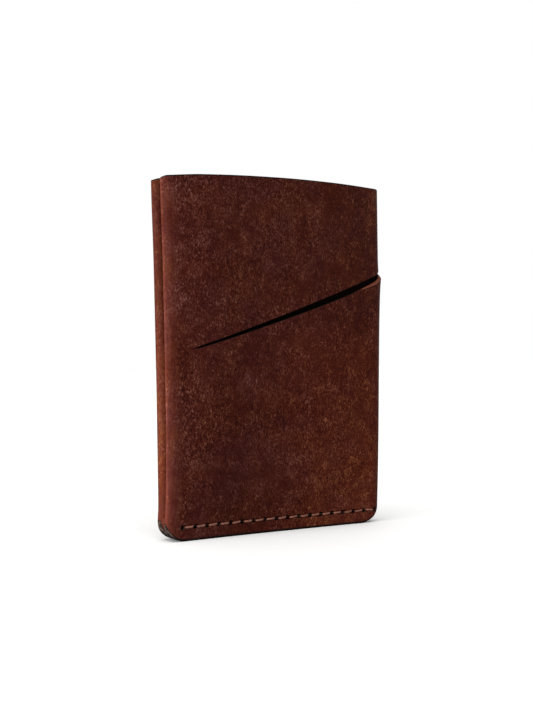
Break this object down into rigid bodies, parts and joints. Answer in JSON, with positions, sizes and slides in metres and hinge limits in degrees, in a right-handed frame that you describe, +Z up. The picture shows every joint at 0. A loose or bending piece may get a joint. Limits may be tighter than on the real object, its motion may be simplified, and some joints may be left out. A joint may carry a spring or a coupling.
{
  "type": "minimalist card wallet",
  "caption": "Vertical card wallet folded from one strip of brown leather, with a slanted slot across the front and one stitched bottom seam.",
  "frame": {"origin": "middle of the bottom edge, on the plane the wallet stands on, between the two inner leather layers", "axes": "+X towards the folded spine, -Y out of the front panel with the slot, +Z up towards the pocket mouths"},
  "size_m": [0.0735, 0.015, 0.1017],
  "materials": {
    "leather": "matte reddish-brown vegetable-tanned leather with a brushed, waxy grain and dark burnished edges",
    "thread": "waxed reddish-tan sewing thread"
  },
  "bodies": {
    "wallet": {"front_seam": "leather", "front_inner_seam": "leather", "back_inner_seam": "leather", "back_seam": "leather", "front_fold_seam": "leather", "back_fold_seam": "leather", "spine_seam": "leather", "front_panel_left": "leather", "front_panel_lower": "leather", "front_panel_upper": "leather", "front_fold_lower": "leather", "front_inner_panel": "leather", "back_inner_panel": "leather", "back_fold_lower": "leather", "back_panel": "leather", "spine_lower": "leather", "spine_upper": "leather", "thread_front": "thread", "thread_back": "thread", "thread_through": "thread"},
    "slot_lip": {"slot_lip_panel": "leather", "slot_lip_spine": "leather"},
    "front_corner": {"front_corner_outer": "leather", "front_corner_fold": "leather", "front_corner_inner": "leather"},
    "back_corner": {"back_corner_outer": "leather", "back_corner_fold": "leather", "back_corner_inner": "leather"}
  },
  "joints": [
    {"name": "slot_lip_flex", "type": "hinge", "parent": "wallet", "child": "slot_lip", "pos_m": [-0.028, -0.0068, 0.052], "axis": [0.8204, 0.0175, -0.5716], "range_deg": [0, 6], "stiffness_Nm_per_rad": 0.03},
    {"name": "front_corner_flex", "type": "hinge", "parent": "wallet", "child": "front_corner", "pos_m": [-0.0345, -0.0083, 0.055], "axis": [0.8347, 0, 0.5508], "range_deg": [0, 8], "stiffness_Nm_per_rad": 0.03},
    {"name": "back_corner_flex", "type": "hinge", "parent": "wallet", "child": "back_corner", "pos_m": [-0.0345, 0.0083, 0.055], "axis": [-0.8347, 0, -0.5508], "range_deg": [0, 8], "stiffness_Nm_per_rad": 0.03}
  ]
}
